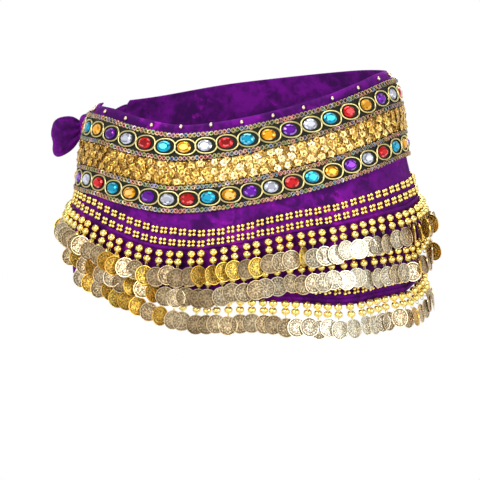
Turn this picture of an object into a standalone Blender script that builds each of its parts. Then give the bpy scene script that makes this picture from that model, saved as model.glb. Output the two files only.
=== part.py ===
"""A hip scarf for belly dance, in the hollow form that it has when it is worn.

A velvet panel goes round the hips and is tied in a bow at the wearer's right, towards the
back. Two jewelled trims and a gold sequin band lie on its upper part, and three rows of beads
and coins hang from its lower part. The wearer's front faces -Y and their left hip is at +X.
The origin lies on the upright axis of the hips, inside the ring. Lengths are in metres.
"""

from collections import namedtuple
import math

import bmesh
import bpy
from mathutils import Matrix, Vector
import numpy as np

# How far the scarf goes round, in degrees from the front towards the wearer's left.
PANEL_START = -103.0
PANEL_END = 233.0
DEEPEST_AT = 65.0
KNOT_AT = -115.0
PANEL_SECTIONS = 84

# The cloth and what is sewn on it.
VELVET_WALL = 0.0018
TRIM_WALL = 0.0012
TRIM_STAND_OFF = 0.0011
SEAM = 0.0003
TRIM_SEAM = 0.0006
TOP_MARGIN = 0.008
TRIM_BORDER = 0.0052
TRIM_FIELD = 0.0166
GOLD_BAND = 0.0225
BODY_ROWS = 3
HEM_BELOW_LAST_ROW = 0.003

# The gems: one in each loop of the trim, as wide as the loop less a margin all round.
GEM_PITCH = 0.020
GEM_MARGIN = 0.0033
GEM_CROWN = 0.0020
GEM_RISE = 0.0032
GEM_POINT = 0.0008
GOLD_BAND_PITCH = 0.010

# The coin rows.
STRAND_PITCH = 0.0104
ROW_REACH = {"upper": 165.5, "middle": 132, "lower": 124}
STRIP_HEIGHT = 0.003
STRIP_WALL = 0.0012
STRIP_STAND_OFF = 0.0010
COIN_TURN = math.radians(20)
ROW_LIFT = {"upper": 0.0040, "middle": 0.0020, "lower": 0.0}
RIDGE_SHARE_BEHIND = 0.4

# The ties, the knot and the bow.
TIE_TOP = 0.004
TIE_HEIGHT = 0.044
TIE_WALL = 0.0022
KNOT_DEPTH = 0.028
KNOT_OUT = 0.014
KNOT_SIZE = (0.026, 0.022, 0.030)
KNOT_ROUNDING = 0.008
TIE_END_HEIGHT = 0.016
TIE_GATHERS = 2
TIE_GATHER_DEPTH = 0.0010
TIE_LEAD = 0.009
TIE_EDGE_GAP = 0.3
BOW_WALL = 0.0018
BOW_OPENING = math.radians(42)
TAIL_WALL = 0.0018

HipSection = namedtuple("HipSection", "depth half_width front back")
HIPS = (
    HipSection(0.000, 0.1435, 0.0950, 0.0980),
    HipSection(0.010, 0.1500, 0.0975, 0.1015),
    HipSection(0.025, 0.1550, 0.1005, 0.1065),
    HipSection(0.045, 0.1580, 0.1040, 0.1120),
    HipSection(0.085, 0.1640, 0.1080, 0.1220),
    HipSection(0.125, 0.1735, 0.1100, 0.1275),
    HipSection(0.160, 0.1750, 0.1100, 0.1280),
    HipSection(0.200, 0.1725, 0.1085, 0.1260),
    HipSection(0.260, 0.1680, 0.1070, 0.1220),
)

EdgePoint = namedtuple("EdgePoint", "angle height")
TOP_EDGE = (
    EdgePoint(-140, 0.0500),
    EdgePoint(-90, 0.0455),
    EdgePoint(-62, 0.0425),
    EdgePoint(-48, 0.0362),
    EdgePoint(-36, 0.0308),
    EdgePoint(-25, 0.0275),
    EdgePoint(-14, 0.0290),
    EdgePoint(0, 0.0345),
    EdgePoint(16, 0.0435),
    EdgePoint(33, 0.0547),
    EdgePoint(50, 0.0668),
    EdgePoint(68, 0.0765),
    EdgePoint(92, 0.0788),
    EdgePoint(130, 0.0780),
    EdgePoint(180, 0.0660),
    EdgePoint(220, 0.0510),
    EdgePoint(260, 0.0450),
)

# Where the three coin rows are sewn on, by the angle away from the scarf's deepest place. The
# hem follows the lower row, also past the end of that row, where it rises towards the tie.
RowDepths = namedtuple("RowDepths", "away upper middle lower")
ROW_DEPTHS = (
    RowDepths(0, 0.1310, 0.1670, 0.2110),
    RowDepths(32, 0.1225, 0.1500, 0.1970),
    RowDepths(49, 0.1180, 0.1418, 0.1820),
    RowDepths(65, 0.1185, 0.1400, 0.1705),
    RowDepths(79, 0.1195, 0.1405, 0.1650),
    RowDepths(101, 0.1160, 0.1315, 0.1470),
    RowDepths(125, 0.1065, 0.1210, 0.1355),
    RowDepths(134, 0.1035, 0.1185, 0.1270),
    RowDepths(145, 0.1000, 0.1090, 0.1130),
    RowDepths(172, 0.0940, 0.0970, 0.0985),
)

# The soft folds of the lower cloth: each is a ridge that fades out upwards.
Fold = namedtuple("Fold", "angle rise spread")
FOLDS = (
    Fold(-90, 0.0040, 11),
    Fold(-58, 0.0050, 13),
    Fold(-30, 0.0040, 13),
    Fold(-4, 0.0035, 14),
    Fold(17, 0.0030, 11),
    Fold(36, 0.0070, 9),
    Fold(62, 0.0045, 13),
    Fold(88, 0.0050, 14),
    Fold(118, 0.0045, 14),
    Fold(147, 0.0055, 14),
    Fold(176, 0.0045, 14),
    Fold(204, 0.0055, 13),
    Fold(228, 0.0035, 11),
)
FOLDS_START = 0.088
FULL_FOLD_LENGTH = 0.100

# One strand, from the strip down: two beads are one spindle, then comes the coin.
StrandSection = namedtuple("StrandSection", "drop out half_width ridge")
STRAND = (
    StrandSection(0.0075, 0.0042, 0.0036, 0.0044),
    StrandSection(0.0155, 0.0074, 0.0010, 0.0014),
    StrandSection(0.0205, 0.0104, 0.0086, 0.0018),
    StrandSection(0.0305, 0.0136, 0.0086, 0.0018),
    StrandSection(0.0355, 0.0152, 0.0032, 0.0012),
)

# A bow loop: half its height at places round the teardrop that it makes, seen from above.
LoopSection = namedtuple("LoopSection", "turn half_height sink")
BOW_LOOP = (
    LoopSection(40, 0.0090, 0.0015),
    LoopSection(80, 0.0172, 0.0050),
    LoopSection(130, 0.0198, 0.0088),
    LoopSection(180, 0.0162, 0.0100),
    LoopSection(230, 0.0198, 0.0088),
    LoopSection(280, 0.0172, 0.0050),
    LoopSection(320, 0.0090, 0.0015),
)
LOOP_SEGMENTS = 18
LOOP_ROWS = 4
LOOP_CROWN = 0.18

Loop = namedtuple("Loop", "name turn_from_outward length breadth")
BOW_LOOPS = (
    Loop("bow_loop_front", 36, 0.033, 0.0165),
    Loop("bow_loop_back", -52, 0.042, 0.015),
)

Tail = namedtuple("Tail", "name aside out length lean")
TAILS = (
    Tail("tail_front", 0.0045, 0.005, 0.118, 0.002),
    Tail("tail_back", -0.0045, 0.011, 0.132, -0.002),
)
TAIL_TOP_WIDTH = 0.014
TAIL_WIDTH = 0.030
TAIL_POINT = 0.014
TAIL_GATHER_LENGTH = 0.030
TAIL_TOP_APART = 0.003
TAIL_RADIUS = 0.130
TAIL_ROWS = 9
TAIL_COLUMNS = 4

VELVET_COLOUR = (0.13, 0.005, 0.19)
GOLD_COLOUR = (0.86, 0.58, 0.22)
COIN_COLOUR = (0.75, 0.58, 0.36)
TRIM_COLOUR = (0.30, 0.26, 0.20)


def material(name, colour, roughness, metallic):
    made = bpy.data.materials.new(name)
    made.use_nodes = True
    shader = made.node_tree.nodes["Principled BSDF"]
    shader.inputs["Base Color"].default_value = (*colour, 1.0)
    shader.inputs["Roughness"].default_value = roughness
    shader.inputs["Metallic"].default_value = metallic
    made.diffuse_color = (*colour, 1.0)
    return made


def object_from(bm, name, finish, collection):
    mesh = bpy.data.meshes.new(name)
    bm.to_mesh(mesh)
    bm.free()
    mesh.materials.append(finish)
    made = bpy.data.objects.new(name, mesh)
    collection.objects.link(made)
    return made


def read_table(rows, column, at):
    """A smooth curve through one column of a table, read at a value of its first column."""
    places = [row[0] for row in rows]
    values = [getattr(row, column) for row in rows]
    at = min(max(at, places[0]), places[-1])
    left = max(i for i in range(len(rows) - 1) if places[i] <= at)
    slopes = []
    for i in (left, left + 1):
        before, after = max(i - 1, 0), min(i + 1, len(rows) - 1)
        slopes.append((values[after] - values[before]) / (places[after] - places[before]))
    span = places[left + 1] - places[left]
    t = (at - places[left]) / span
    return (
        values[left] * (2 * t**3 - 3 * t**2 + 1)
        + values[left + 1] * (3 * t**2 - 2 * t**3)
        + slopes[0] * span * (t**3 - 2 * t**2 + t)
        + slopes[1] * span * (t**3 - t**2)
    )


def row_depth(row, angle):
    return read_table(ROW_DEPTHS, row, abs(angle - DEEPEST_AT))


def hem_depth(angle):
    return row_depth("lower", angle) + HEM_BELOW_LAST_ROW


def fold_rise(angle, depth):
    """How far the soft folds lift the cloth: nothing at the trims, most at the hem."""
    free_length = hem_depth(angle) - FOLDS_START
    share = min(max((depth - FOLDS_START) / free_length, 0.0), 1.2)
    lift = sum(f.rise * math.exp(-(((angle - f.angle) / f.spread) ** 2)) for f in FOLDS)
    return lift * share * share * min(free_length / FULL_FOLD_LENGTH, 1.0)


def form(angle, depth):
    """A point of the hip form, with the folds, before any thickness."""
    turn = math.radians(angle)
    half_width = read_table(HIPS, "half_width", depth)
    half_depth = read_table(HIPS, "front" if math.cos(turn) > 0 else "back", depth)
    across = Vector((half_width * math.sin(turn), -half_depth * math.cos(turn), 0))
    outward = Vector((across.x / half_width**2, across.y / half_depth**2, 0)).normalized()
    across += outward * fold_rise(angle, depth)
    across.z = read_table(TOP_EDGE, "height", angle) - depth
    return across


def frame_at(angle, depth):
    """The point of the form, its direction round the hips and its outward direction."""
    step = 0.5
    round_hips = form(angle + step, depth) - form(angle - step, depth)
    drop = 0.002
    upwards = form(angle, depth - drop) - form(angle, depth + drop)
    outward = round_hips.cross(upwards).normalized()
    round_hips.z = 0
    return form(angle, depth), round_hips.normalized(), outward


def cloth(angle, depth, out):
    """A point at a place on the cloth, moved out from it."""
    point, _, outward = frame_at(angle, depth)
    return point + outward * out


def level_frame_at(angle, depth):
    """As frame_at, but the outward direction is level, as for what hangs."""
    point, round_hips, outward = frame_at(angle, depth)
    return point, round_hips, Vector((outward.x, outward.y, 0)).normalized()


def even_angles(depth, start, end, count):
    """Angles that divide a stretch of the ring into pieces of one length."""
    angles = np.linspace(start, end, 600)
    points = [form(angle, depth) for angle in angles]
    steps = [math.hypot(q.x - p.x, q.y - p.y) for p, q in zip(points, points[1:])]
    along = np.concatenate([[0.0], np.cumsum(steps)])
    return [float(a) for a in np.interp(np.linspace(0, along[-1], count + 1), along, angles)]


def ring_length(depth, start, end):
    angles = np.linspace(start, end, 600)
    points = [form(angle, depth) for angle in angles]
    return sum(math.hypot(q.x - p.x, q.y - p.y) for p, q in zip(points, points[1:]))


def sewn_wall(angles, depths_at, inner, outer):
    """A wall that follows the cloth between two distances from it. Each angle starts a
    section, and depths_at gives the depths of its rows. Returns the bmesh and its outer faces,
    each marked with its section."""
    rows = len(depths_at(angles[0]))
    bm = bmesh.new()
    angle_of = bm.verts.layers.float.new("angle")
    depth_of = bm.verts.layers.float.new("depth")
    section_of = bm.faces.layers.int.new("section")
    bmesh.ops.create_grid(bm, x_segments=len(angles) - 1, y_segments=rows - 1, size=1.0)
    for face in bm.faces:
        share = (face.calc_center_median().x + 1) / 2
        face[section_of] = int(share * (len(angles) - 1))
    for vert in bm.verts:
        section = round((vert.co.x + 1) / 2 * (len(angles) - 1))
        row = round((1 - vert.co.y) / 2 * (rows - 1))
        vert[angle_of] = angles[section]
        vert[depth_of] = depths_at(angles[section])[row]
        vert.co = cloth(vert[angle_of], vert[depth_of], inner)
    moved = bmesh.ops.extrude_face_region(bm, geom=bm.faces[:])["geom"]
    outer_faces = [item for item in moved if isinstance(item, bmesh.types.BMFace)]
    for vert in moved:
        if isinstance(vert, bmesh.types.BMVert):
            vert.co = cloth(vert[angle_of], vert[depth_of], outer)
    bmesh.ops.recalc_face_normals(bm, faces=bm.faces)
    return bm, outer_faces


def panel_depths(angle):
    """The panel's rows: its top edge, the edges of the trims, and the body down to the hem."""
    band_edges = [0.0, TOP_MARGIN]
    for height in (TRIM_BORDER * 2 + TRIM_FIELD, GOLD_BAND, TRIM_BORDER * 2 + TRIM_FIELD):
        band_edges.append(band_edges[-1] + height)
    last = band_edges[-1]
    body = [last + (hem_depth(angle) - last) * (i + 1) / BODY_ROWS for i in range(BODY_ROWS)]
    return band_edges + body


def make_panel(collection):
    angles = even_angles(0.085, PANEL_START, PANEL_END, PANEL_SECTIONS)
    bm, _ = sewn_wall(angles, panel_depths, -VELVET_WALL, 0.0)
    finish = material("velvet", VELVET_COLOUR, 0.85, 0.0)
    return object_from(bm, "velvet_panel", finish, collection)


def make_jewelled_trim(name, top, collection):
    """A trim with a border of small sequins along each edge and a row of gems between."""
    start = PANEL_START + 0.4
    end = PANEL_END - 0.4
    middle = top + TRIM_BORDER + TRIM_FIELD / 2
    gems = round(ring_length(middle, start, end) / GEM_PITCH)
    field_top = top + TRIM_BORDER
    field_bottom = field_top + TRIM_FIELD
    bottom = field_bottom + TRIM_BORDER
    depths = [top + TRIM_SEAM / 2, field_top, field_bottom, bottom - TRIM_SEAM / 2]
    angles = even_angles(middle, start, end, gems)
    reach = TRIM_STAND_OFF + TRIM_WALL
    bm, outer_faces = sewn_wall(angles, lambda angle: depths, TRIM_STAND_OFF, reach)
    depth_of = bm.verts.layers.float["depth"]
    fields = [
        face
        for face in outer_faces
        if field_top < sum(v[depth_of] for v in face.verts) / len(face.verts) < field_bottom
    ]
    bmesh.ops.inset_individual(bm, faces=fields, thickness=GEM_MARGIN, use_even_offset=True)
    bmesh.ops.inset_individual(
        bm, faces=fields, thickness=GEM_CROWN, depth=GEM_RISE, use_even_offset=True
    )
    bmesh.ops.poke(bm, faces=fields, offset=GEM_POINT)
    finish = material(name, TRIM_COLOUR, 0.35, 0.2)
    return object_from(bm, name, finish, collection)


def make_gold_band(top, collection):
    start = PANEL_START + 0.4
    end = PANEL_END - 0.4
    middle = top + GOLD_BAND / 2
    sections = round(ring_length(middle, start, end) / GOLD_BAND_PITCH)
    angles = even_angles(middle, start, end, sections)
    depths = [top + TRIM_SEAM / 2, top + GOLD_BAND - TRIM_SEAM / 2]
    reach = TRIM_STAND_OFF + TRIM_WALL
    bm, _ = sewn_wall(angles, lambda angle: depths, TRIM_STAND_OFF, reach)
    finish = material("gold_sequins", GOLD_COLOUR, 0.3, 0.8)
    return object_from(bm, "gold_band", finish, collection)


def place_strand_end(face, middle, round_hips, outward, section, lift, turned):
    """Moves the end face of a strand to a section's place, and gives it its size. The lift
    takes a strand clear of those of the row below, and a coin is turned like a shingle."""
    across, forwards = round_hips, outward
    if turned:
        across = round_hips * math.cos(COIN_TURN) + outward * math.sin(COIN_TURN)
        forwards = outward * math.cos(COIN_TURN) - round_hips * math.sin(COIN_TURN)
    centre = middle + outward * (section.out + lift) - Vector((0, 0, section.drop))
    back = centre - forwards * section.ridge * RIDGE_SHARE_BEHIND
    first, ridge, last = sorted(face.verts, key=lambda v: v.co.dot(round_hips))
    first.co = back - across * section.half_width
    last.co = back + across * section.half_width
    ridge.co = centre + forwards * section.ridge * (1 - RIDGE_SHARE_BEHIND)


def make_coin_row(row, collection):
    """A narrow strip on the cloth, with strands of beads and a coin that hang from it."""
    start = DEEPEST_AT - ROW_REACH[row]
    end = DEEPEST_AT + ROW_REACH[row]
    strands = round(ring_length(0.125, start, end) / STRAND_PITCH)
    angles = even_angles(0.125, start, end, strands)

    def strip_depths(angle):
        depth = row_depth(row, angle)
        return [depth - STRIP_HEIGHT, depth]

    reach = STRIP_STAND_OFF + STRIP_WALL
    bm, outer_faces = sewn_wall(angles, strip_depths, STRIP_STAND_OFF, reach)
    strand_of = bm.faces.layers.int["section"]
    angle_of = bm.verts.layers.float["angle"]
    depth_of = bm.verts.layers.float["depth"]
    frames = []
    for first, last in zip(angles, angles[1:]):
        middle = (first + last) / 2
        frames.append(level_frame_at(middle, row_depth(row, middle)))
    poked = bmesh.ops.poke(bm, faces=outer_faces)
    tips = set(poked["verts"])
    ends = []
    for face in poked["faces"]:
        corners = [vert for vert in face.verts if vert not in tips]
        above = [row_depth(row, vert[angle_of]) - vert[depth_of] for vert in corners]
        if max(above) < STRIP_HEIGHT / 2:
            ends.append(face)
    for number, section in enumerate(STRAND):
        ends = bmesh.ops.extrude_discrete_faces(bm, faces=ends)["faces"]
        for face in ends:
            point, round_hips, level = frames[face[strand_of]]
            lift = ROW_LIFT[row] * (number + 1) / len(STRAND)
            place_strand_end(face, point, round_hips, level, section, lift, number > 0)
    bmesh.ops.triangulate(bm, faces=bm.faces[:])
    finish = material(f"coins_{row}", COIN_COLOUR, 0.3, 1.0)
    return object_from(bm, f"coin_row_{row}", finish, collection)


def knot_frame():
    """The middle of the knot, the direction round the hips and the outward direction."""
    point, round_hips, level = level_frame_at(KNOT_AT, KNOT_DEPTH)
    return point + level * KNOT_OUT, round_hips, level


def placed_grid(columns, rows, place):
    """An open surface: place gives the point for two shares from 0 to 1."""
    bm = bmesh.new()
    bmesh.ops.create_grid(bm, x_segments=columns, y_segments=rows, size=1.0)
    for vert in bm.verts:
        vert.co = place((vert.co.x + 1) / 2, (1 - vert.co.y) / 2)
    return bm


def give_wall(made, thickness):
    wall = made.modifiers.new("Wall", "SOLIDIFY")
    wall.thickness = thickness
    wall.offset = 0.0
    wall.use_even_offset = True
    return made


def make_tie(name, panel_edge, side, finish, collection):
    """The end of the scarf, gathered from the panel's edge to the side of the knot."""
    knot, round_hips, level = knot_frame()
    edge = panel_edge - side * TIE_EDGE_GAP
    half_knot = KNOT_SIZE[0] / 2 + SEAM + TIE_WALL / 2

    def place(along, down):
        point, onwards, outward = frame_at(edge, TIE_TOP + TIE_HEIGHT * down)
        sewn = point - outward * VELVET_WALL / 2
        lead = sewn - onwards * side * TIE_LEAD
        gathered = knot + round_hips * side * half_knot
        gathered.z += TIE_END_HEIGHT * (0.5 - down)
        gathered += level * TIE_GATHER_DEPTH * math.cos(TIE_GATHERS * math.tau * down)
        return sewn.lerp(lead, along).lerp(lead.lerp(gathered, along), along)

    bm = placed_grid(5, 6, place)
    return give_wall(object_from(bm, name, finish, collection), TIE_WALL)


def make_knot(finish, collection):
    knot, round_hips, level = knot_frame()
    bm = bmesh.new()
    bmesh.ops.create_cube(bm, size=1.0)
    bmesh.ops.scale(bm, vec=KNOT_SIZE, verts=bm.verts)
    bmesh.ops.bevel(
        bm,
        geom=bm.edges[:],
        offset=KNOT_ROUNDING,
        segments=3,
        profile=0.5,
        affect="EDGES",
        material=-1,
    )
    turn = Matrix((round_hips, level, Vector((0, 0, 1)))).transposed().to_4x4()
    bmesh.ops.transform(bm, matrix=Matrix.Translation(knot) @ turn, verts=bm.verts)
    bmesh.ops.recalc_face_normals(bm, faces=bm.faces)
    return object_from(bm, "knot", finish, collection)


def make_bow_loop(loop, finish, collection):
    """A strip that leaves the knot, turns back on itself and returns, as a teardrop."""
    knot, round_hips, level = knot_frame()
    turn = math.radians(loop.turn_from_outward)
    ahead = level * math.cos(turn) + round_hips * math.sin(turn)
    aside = round_hips * math.cos(turn) - level * math.sin(turn)
    side, front = abs(math.sin(turn)), math.cos(turn)
    half_knot = (KNOT_SIZE[0] * side + KNOT_SIZE[1] * front) / 2
    half_knot -= KNOT_ROUNDING * (side + front - 1)
    first_reach = (1 - math.cos(BOW_OPENING)) / 2 * loop.length
    start = half_knot + BOW_WALL / 2 - first_reach

    def place(along, down):
        angle = BOW_OPENING + (math.tau - 2 * BOW_OPENING) * along
        half_height = read_table(BOW_LOOP, "half_height", math.degrees(angle))
        sink = read_table(BOW_LOOP, "sink", math.degrees(angle))
        up = 1 - 2 * down
        crown = 1 - LOOP_CROWN * up * up
        reach = start + loop.length * (1 - math.cos(angle)) / 2 * (0.5 + 0.5 * crown)
        breadth = loop.breadth * math.sin(angle) * math.sin(angle / 2) * crown
        point = knot + ahead * reach - aside * breadth
        point.z += half_height * up - sink
        return point

    bm = placed_grid(LOOP_SEGMENTS, LOOP_ROWS, place)
    return give_wall(object_from(bm, loop.name, finish, collection), BOW_WALL)


def make_tail(tail, finish, collection):
    """A free end of a tie, which hangs from the underside of the knot."""
    top_depth = KNOT_DEPTH + KNOT_SIZE[2] / 2 + SEAM
    gather_share = TAIL_GATHER_LENGTH / tail.length
    top_out = KNOT_OUT + math.copysign(TAIL_TOP_APART, -tail.aside)

    def place(across, down):
        width = np.interp(down, (0.0, gather_share), (TAIL_TOP_WIDTH, TAIL_WIDTH))
        out = np.interp(down, (0.0, gather_share), (top_out, tail.out))
        aside = (across - 0.5) * width + tail.aside * min(down / gather_share, 1.0)
        angle = KNOT_AT + math.degrees((aside + tail.lean * down) / TAIL_RADIUS)
        shorter = TAIL_POINT * down * (1 - 2 * abs(across - 0.5))
        depth = top_depth + tail.length * down - shorter
        point, _, level = level_frame_at(angle, depth)
        return point + level * out

    bm = placed_grid(TAIL_COLUMNS, TAIL_ROWS, place)
    return give_wall(object_from(bm, tail.name, finish, collection), TAIL_WALL)


def main():
    for old in list(bpy.data.objects):
        bpy.data.objects.remove(old, do_unlink=True)
    collection = bpy.data.collections.new("hip_scarf")
    bpy.context.scene.collection.children.link(collection)

    make_panel(collection)
    trim_height = TRIM_FIELD + 2 * TRIM_BORDER
    band_top = TOP_MARGIN + trim_height
    make_jewelled_trim("jewelled_trim_upper", TOP_MARGIN, collection)
    make_gold_band(band_top, collection)
    make_jewelled_trim("jewelled_trim_lower", band_top + GOLD_BAND, collection)
    for row in ("upper", "middle", "lower"):
        make_coin_row(row, collection)

    tie_velvet = material("tie_velvet", VELVET_COLOUR, 0.85, 0.0)
    make_tie("tie_front", PANEL_START, 1, tie_velvet, collection)
    make_tie("tie_back", PANEL_END - 360.0, -1, tie_velvet, collection)
    make_knot(tie_velvet, collection)
    for loop in BOW_LOOPS:
        make_bow_loop(loop, tie_velvet, collection)
    for tail in TAILS:
        make_tail(tail, tie_velvet, collection)


main()
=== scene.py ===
# %% [markdown]
# # A belly dance hip scarf
# This scarf is a purple velvet wrap, worn low on the hips and tied in a bow at the wearer's
# right. Two ribbons of oval gems and a band of gold stars lie on it, and rows of beads and coins
# hang from its lower part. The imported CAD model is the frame: it gives the sizes and the places,
# and every piece below is made on the same hip form, so nothing has to be fitted afterwards.

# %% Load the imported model
from collections import namedtuple
import math
import random

import bmesh
import bpy
from mathutils import Matrix, Vector
import numpy as np


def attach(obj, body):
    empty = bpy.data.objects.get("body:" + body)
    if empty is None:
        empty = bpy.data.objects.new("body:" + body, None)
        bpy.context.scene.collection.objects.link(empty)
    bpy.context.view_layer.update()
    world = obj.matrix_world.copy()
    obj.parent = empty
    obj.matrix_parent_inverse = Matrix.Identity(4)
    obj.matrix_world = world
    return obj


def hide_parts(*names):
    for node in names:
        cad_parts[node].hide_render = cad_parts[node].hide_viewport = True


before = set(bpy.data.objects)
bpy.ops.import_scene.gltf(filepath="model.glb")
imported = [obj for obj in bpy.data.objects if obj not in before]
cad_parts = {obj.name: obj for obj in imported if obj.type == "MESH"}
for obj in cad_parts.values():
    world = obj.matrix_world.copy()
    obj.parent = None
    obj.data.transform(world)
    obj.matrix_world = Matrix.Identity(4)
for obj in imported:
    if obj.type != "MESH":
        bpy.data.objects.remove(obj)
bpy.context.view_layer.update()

print("CAD nodes:", len(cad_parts))

# %% [markdown]
# ## The camera
# The photograph looks straight at the wearer's front from a little above the hips. A long lens
# from 2.4 m away keeps the far side from looking small, as in the photograph. Lights and the
# camera come first, because every piece is judged through them.

# %% Set the camera
VIEW_ELEVATION = math.radians(4.5)
VIEW_DISTANCE = 2.4
VIEW_MIDDLE = Vector((-0.002, 0.0, -0.090))


def aimed(made, place, target):
    """An object that is placed and turned to look at a point."""
    made.location = place
    made.rotation_euler = (target - place).to_track_quat("-Z", "Y").to_euler()
    bpy.context.scene.collection.objects.link(made)
    return made


lens = bpy.data.cameras.new("photo_camera")
lens.lens = 180.0
lens.sensor_width = 36.0
back = Vector((0.0, -math.cos(VIEW_ELEVATION), math.sin(VIEW_ELEVATION)))
camera = aimed(bpy.data.objects.new("photo_camera", lens), VIEW_MIDDLE + back * VIEW_DISTANCE, VIEW_MIDDLE)
bpy.context.scene.camera = camera
print("camera at", [round(c, 3) for c in camera.location])

# %% [markdown]
# ## The studio
# Velvet shows its nap only in soft light from the side, and coins need something bright and
# something dark to mirror. So a large soft light stands at each side and above, and the room is
# white round the horizon and greyer above and below. The pale floor is far below, as hips are
# about 0.9 m above it.

# %% Light the studio
FLOOR_HEIGHT = -0.95
FLOOR_RADIUS = 3.0
STUDIO_LIGHTS = (
    # name, place, side in metres, watts
    ("key_light", (-1.1, -1.9, 1.1), 1.1, 34.0),
    ("fill_light", (1.7, -1.4, 0.3), 1.2, 17.0),
    ("top_light", (0.1, 0.2, 1.8), 1.2, 18.0),
    ("back_light", (0.3, 2.2, 0.7), 1.3, 22.0),
)
for name, place, side, watts in STUDIO_LIGHTS:
    lamp = bpy.data.lights.new(name, "AREA")
    lamp.size = side
    lamp.energy = watts
    aimed(bpy.data.objects.new(name, lamp), Vector(place), Vector((0.0, 0.0, -0.05)))

room = bpy.data.worlds.new("studio")
room.use_nodes = True
bpy.context.scene.world = room
tree = room.node_tree
direction = tree.nodes.new("ShaderNodeTexCoord")
parts = tree.nodes.new("ShaderNodeSeparateXYZ")
walls = tree.nodes.new("ShaderNodeValToRGB")
tree.links.new(direction.outputs["Generated"], parts.inputs[0])
height = tree.nodes.new("ShaderNodeMapRange")
height.inputs["From Min"].default_value = -1.0
tree.links.new(parts.outputs["Z"], height.inputs["Value"])
tree.links.new(height.outputs["Result"], walls.inputs["Fac"])
stops = walls.color_ramp.elements
stops[0].position, stops[0].color = 0.0, (0.30, 0.30, 0.31, 1)
stops[1].position, stops[1].color = 1.0, (0.55, 0.55, 0.56, 1)
for place, grey in ((0.30, 0.30), (0.40, 1.0), (0.62, 1.0), (0.74, 0.42)):
    stops.new(place).color = (grey, grey, grey, 1)
tree.links.new(walls.outputs["Color"], tree.nodes["Background"].inputs["Color"])
tree.nodes["Background"].inputs["Strength"].default_value = 1.0
bpy.context.scene.view_settings.view_transform = "Standard"
print("lights:", ", ".join(f"{row[0]} {row[3]} W" for row in STUDIO_LIGHTS))

# %% [markdown]
# ## Finishes as expressions
# A finish is a network of shader nodes. Wiring each Math node by hand hides the sum that it
# makes, so a small class wraps a socket and lets Python's own signs add the nodes.

# %% Shader helpers
class Socket:
    """A value inside a finish. Sums with it add Math nodes."""

    def __init__(self, finish, output):
        self.finish = finish
        self.output = output

    def maths(self, operation, first, second=0.0):
        return self.finish.node("Math", {"operation": operation}, {0: first, 1: second})

    def __add__(self, other):
        return self.maths("ADD", self, other)

    def __sub__(self, other):
        return self.maths("SUBTRACT", self, other)

    def __rsub__(self, other):
        return self.maths("SUBTRACT", other, self)

    def __mul__(self, other):
        return self.maths("MULTIPLY", self, other)

    def __truediv__(self, other):
        return self.maths("DIVIDE", self, other)

    def __pow__(self, other):
        return self.maths("POWER", self, other)

    __radd__ = __add__
    __rmul__ = __mul__

    def over(self, edge, softness):
        """1 where the value is over an edge and 0 where it is under, with a soft step."""
        return self.finish.node(
            "MapRange",
            {"interpolation_type": "SMOOTHSTEP"},
            {"Value": self, "From Min": edge - softness, "From Max": edge + softness},
        )


class Finish:
    """A material with one Principled shader. Numbers given by name go on its own sockets."""

    def __init__(self, name, **numbers):
        self.material = bpy.data.materials.new(name)
        self.material.use_nodes = True
        self.tree = self.material.node_tree
        self.shader = self.tree.nodes["Principled BSDF"]
        for socket, value in numbers.items():
            self.shader.inputs[socket.replace("_", " ").title().replace("Ior", "IOR")].default_value = value

    def node(self, kind, settings, inputs, output=0):
        made = self.tree.nodes.new("ShaderNode" + kind)
        for name, value in settings.items():
            if name == "stops":
                ramp = made.color_ramp.elements
                ramp[0].position, ramp[0].color = value[0][0], (*value[0][1], 1)
                ramp[1].position, ramp[1].color = value[-1][0], (*value[-1][1], 1)
                for place, colour in value[1:-1]:
                    ramp.new(place).color = (*colour, 1)
            else:
                setattr(made, name, value)
        for name, value in inputs.items():
            if isinstance(value, Socket):
                self.tree.links.new(value.output, made.inputs[name])
            else:
                made.inputs[name].default_value = value
        return Socket(self, made.outputs[output])

    def place(self, uv=None):
        """Where a point is: on its own object in metres, or on a UV map."""
        if uv:
            return self.node("UVMap", {"uv_map": uv}, {})
        return self.node("TexCoord", {}, {}, "Object")

    def noise(self, scale, detail=2.0, distortion=0.0, where=None):
        inputs = {"Vector": where or self.place(), "Scale": scale, "Detail": detail, "Distortion": distortion}
        return self.node("TexNoise", {}, inputs)

    def blend(self, share, first, second):
        """Two colours, mixed by a share from 0 to 1."""
        colours = {"Factor": share}
        for socket, colour in (("A", first), ("B", second)):
            colours[socket] = colour if isinstance(colour, Socket) else (*colour, 1)
        mix = self.tree.nodes.new("ShaderNodeMix")
        mix.data_type = "RGBA"
        for socket, slot in (("Factor", 0), ("A", 6), ("B", 7)):
            value = colours[socket]
            if isinstance(value, Socket):
                self.tree.links.new(value.output, mix.inputs[slot])
            else:
                mix.inputs[slot].default_value = value
        return Socket(self, mix.outputs[2])

    def attribute(self, name, output="Fac"):
        return self.node("Attribute", {"attribute_name": name}, {}, output)

    def give(self, socket, value):
        self.tree.links.new(value.output, self.shader.inputs[socket])

    def bump(self, height, depth):
        """Relief: a height of 1 stands out by the depth, in metres."""
        self.give("Normal", self.node("Bump", {}, {"Height": height, "Distance": depth, "Strength": 1.0}))


print("made the classes:", Socket.__name__, Finish.__name__)
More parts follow.
